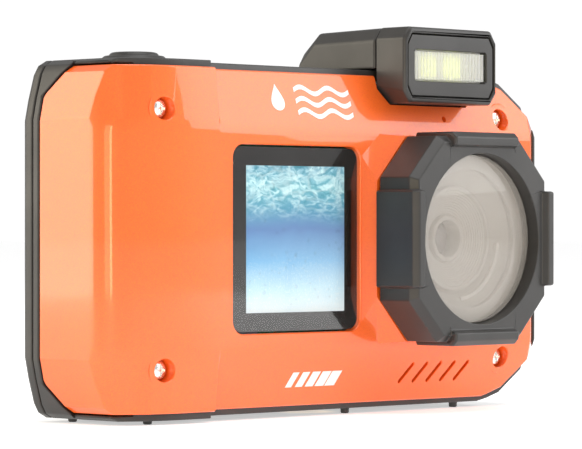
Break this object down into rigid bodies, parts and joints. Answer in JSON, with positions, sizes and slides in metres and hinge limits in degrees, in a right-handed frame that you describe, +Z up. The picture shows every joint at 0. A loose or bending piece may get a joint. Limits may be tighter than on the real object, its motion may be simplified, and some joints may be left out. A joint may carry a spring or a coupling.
{
  "type": "waterproof compact camera",
  "caption": "Rugged waterproof compact camera with a small front screen, a large round lens port in an eight-sided housing, a twin-LED lamp on top and a sealed battery door.",
  "frame": {"origin": "centre of the bounding box in plan, at the level of the foot nubs' lower ends", "axes": "+Z up, +X along the body towards the lens end, the lens and the front screen look along -Y"},
  "size_m": [0.113, 0.041, 0.0722],
  "materials": {
    "orange_paint": "glossy paint with fine metallic flake",
    "charcoal_plastic": "fine moulded grain",
    "black_plastic": "satin",
    "black_rubber": "matte",
    "steel": "bright",
    "brass": "turned",
    "clear_window": "clear",
    "dark_glass": "polished black surround",
    "display_panel": "lit screen",
    "pale_grey_plastic": "satin",
    "circuit_board": "solder mask",
    "sensor_silicon": "polished",
    "led_phosphor": "matte",
    "white_plastic": "satin",
    "battery_wrap": "printed wrap"
  },
  "bodies": {
    "camera_body": {"front_shell": "orange_paint", "mid_frame": "charcoal_plastic", "rear_cover": "charcoal_plastic", "lens_housing": "charcoal_plastic", "lamp_front_housing": "charcoal_plastic", "lamp_rear_housing": "charcoal_plastic", "lamp_bezel": "charcoal_plastic", "shutter_collar": "charcoal_plastic", "lens_tube": "black_plastic", "shutter_switch": "black_plastic", "speaker": "black_plastic", "memory_card": "black_plastic", "front_gasket": "black_rubber", "rear_gasket": "black_rubber", "window_seal": "black_rubber", "case_screw_1": "steel", "case_screw_2": "steel", "case_screw_3": "steel", "case_screw_4": "steel", "door_hinge_pin": "steel", "shutter_spring": "steel", "strap_bar": "steel", "card_socket": "steel", "usb_socket": "steel", "microphone": "steel", "tripod_bushing": "brass", "lens_window": "clear_window", "front_element": "clear_window", "rear_element": "clear_window", "lamp_lens": "clear_window", "front_display_glass": "dark_glass", "rear_display_glass": "dark_glass", "front_display_panel": "display_panel", "rear_display_panel": "display_panel", "lens_bezel": "pale_grey_plastic", "lens_barrel": "pale_grey_plastic", "main_board": "circuit_board", "sensor_board": "circuit_board", "lamp_board": "circuit_board", "key_board": "circuit_board", "image_sensor": "sensor_silicon", "led_left": "led_phosphor", "led_right": "led_phosphor", "lamp_reflector": "white_plastic", "battery": "battery_wrap"},
    "shutter_button": {"shutter_button": "charcoal_plastic"},
    "power_button": {"power_button": "charcoal_plastic"},
    "mode_button": {"mode_button": "black_plastic"},
    "playback_button": {"playback_button": "black_plastic"},
    "menu_button": {"menu_button": "black_plastic"},
    "delete_button": {"delete_button": "black_plastic"},
    "display_switch_button": {"display_switch_button": "black_plastic"},
    "ok_button": {"ok_button": "black_plastic"},
    "direction_pad": {"direction_pad": "black_plastic"},
    "zoom_rocker": {"zoom_rocker": "black_plastic"},
    "battery_door": {"battery_door": "charcoal_plastic", "door_seal": "black_rubber"},
    "door_latch": {"door_latch": "charcoal_plastic"}
  },
  "joints": [
    {"name": "shutter_press", "type": "slide", "parent": "camera_body", "child": "shutter_button", "axis": [0, 0, -1], "range_m": [0, 0.001], "stiffness_N_per_m": 400, "deforming": ["shutter_spring"]},
    {"name": "power_press", "type": "slide", "parent": "camera_body", "child": "power_button", "axis": [0, 0, -1], "range_m": [0, 0.0005], "stiffness_N_per_m": 400},
    {"name": "mode_press", "type": "slide", "parent": "camera_body", "child": "mode_button", "axis": [0, -1, 0], "range_m": [0, 0.0004], "stiffness_N_per_m": 400},
    {"name": "playback_press", "type": "slide", "parent": "camera_body", "child": "playback_button", "axis": [0, -1, 0], "range_m": [0, 0.0004], "stiffness_N_per_m": 400},
    {"name": "menu_press", "type": "slide", "parent": "camera_body", "child": "menu_button", "axis": [0, -1, 0], "range_m": [0, 0.0004], "stiffness_N_per_m": 400},
    {"name": "delete_press", "type": "slide", "parent": "camera_body", "child": "delete_button", "axis": [0, -1, 0], "range_m": [0, 0.0004], "stiffness_N_per_m": 400},
    {"name": "display_switch_press", "type": "slide", "parent": "camera_body", "child": "display_switch_button", "axis": [0, -1, 0], "range_m": [0, 0.0004], "stiffness_N_per_m": 400},
    {"name": "ok_press", "type": "slide", "parent": "camera_body", "child": "ok_button", "axis": [0, -1, 0], "range_m": [0, 0.0004], "stiffness_N_per_m": 400},
    {"name": "direction_pad_press", "type": "slide", "parent": "camera_body", "child": "direction_pad", "axis": [0, -1, 0], "range_m": [0, 0.0004], "stiffness_N_per_m": 400},
    {"name": "zoom_rock", "type": "hinge", "parent": "camera_body", "child": "zoom_rocker", "pos_m": [-0.036, 0.0176, 0.0531], "axis": [0, 0, 1], "range_deg": [-3, 3], "stiffness_Nm_per_rad": 0.02},
    {"name": "door_swing", "type": "hinge", "parent": "camera_body", "child": "battery_door", "pos_m": [-0.0285, 0.0132, 0.0014], "axis": [1, 0, 0], "range_deg": [0, 95]},
    {"name": "latch_slide", "type": "slide", "parent": "battery_door", "child": "door_latch", "axis": [1, 0, 0], "range_m": [0, 0.0015]}
  ]
}
